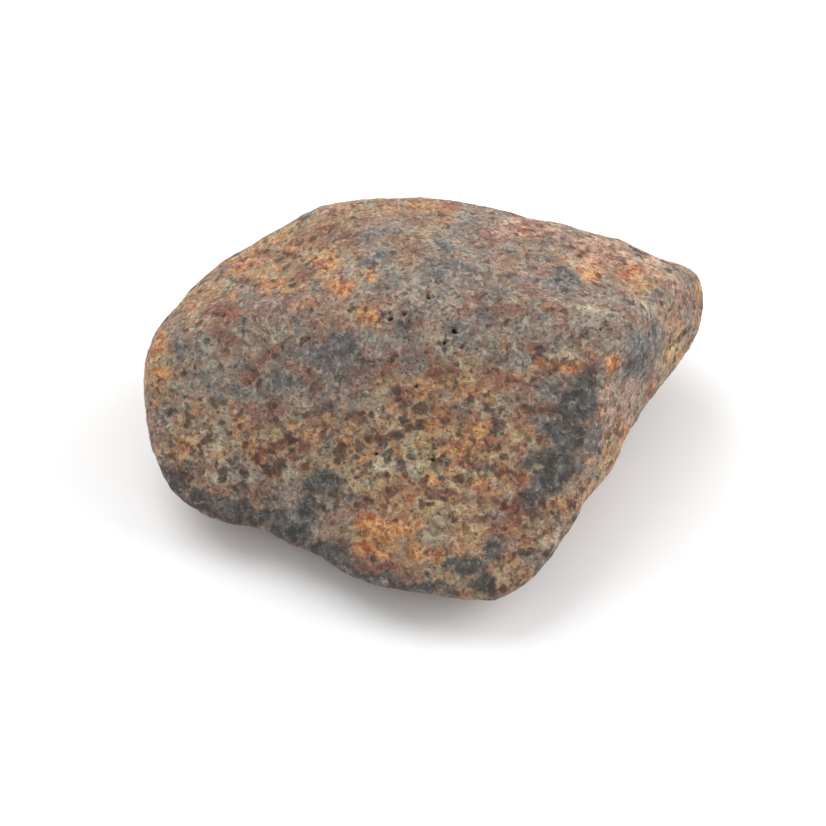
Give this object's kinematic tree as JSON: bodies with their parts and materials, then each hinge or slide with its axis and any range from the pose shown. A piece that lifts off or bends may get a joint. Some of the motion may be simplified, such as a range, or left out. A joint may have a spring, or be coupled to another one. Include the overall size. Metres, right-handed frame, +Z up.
{
  "type": "meteorite",
  "caption": "Weathered stony meteorite: a blocky, round-edged rusty brown stone with a broad sloping front face, a steep right side and a flattened underside it rests on.",
  "frame": {"origin": "on the resting plane, below the middle of the stone's bounding box", "axes": "+Z up; +X along the length of the stone to its blunt nose; -Y towards the broad sloping front face"},
  "size_m": [0.042, 0.0316, 0.0166],
  "materials": {
    "weathered_crust": "matt, finely rough weathered fusion crust: rusty brown and khaki with slate-grey patches and dark specks"
  },
  "bodies": {
    "root": {"meteorite": "weathered_crust"}
  },
  "joints": []
}
